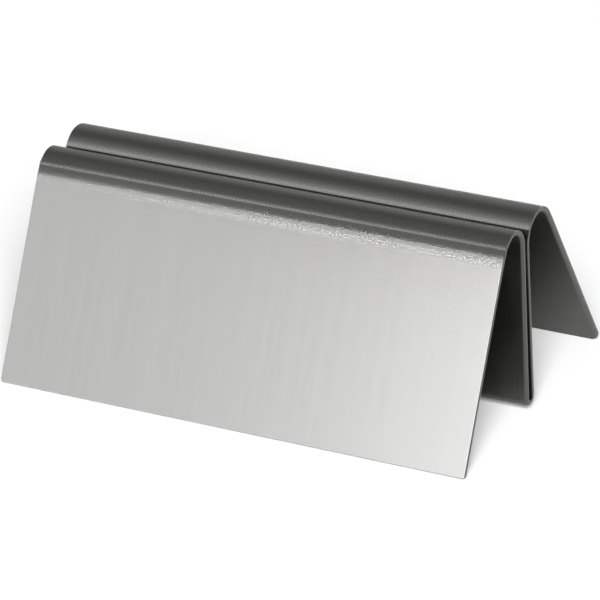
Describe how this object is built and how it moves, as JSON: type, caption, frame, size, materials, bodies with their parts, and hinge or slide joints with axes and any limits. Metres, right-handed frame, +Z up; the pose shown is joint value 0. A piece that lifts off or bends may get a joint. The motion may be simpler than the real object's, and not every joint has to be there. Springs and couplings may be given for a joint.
{
  "type": "menu holder",
  "caption": "Free-standing table menu holder folded from stainless sheet, with sloping legs, rounded ridges and a narrow sprung slot between them that grips a card upright.",
  "frame": {"origin": "on the table, under the middle of the footprint", "axes": "+X along the folds, +Y from the front leg to the rear leg, +Z up"},
  "size_m": [0.075, 0.0456, 0.0299],
  "materials": {
    "stainless_sheet": "satin stainless sheet with a fine grain that runs down the panels and over the ridges, cut edges deburred"
  },
  "bodies": {
    "rear_half": {"rear_slot_fold": "stainless_sheet", "rear_slot_wall": "stainless_sheet", "rear_ridge": "stainless_sheet", "rear_leg": "stainless_sheet"},
    "front_half": {"front_slot_fold": "stainless_sheet", "front_slot_wall": "stainless_sheet", "front_ridge": "stainless_sheet", "front_leg": "stainless_sheet"}
  },
  "joints": [
    {"name": "slot_spring", "type": "hinge", "parent": "rear_half", "child": "front_half", "pos_m": [0, -0.001, 0.00225], "axis": [1, 0, 0], "range_deg": [-1.4, 3], "stiffness_Nm_per_rad": 36}
  ]
}
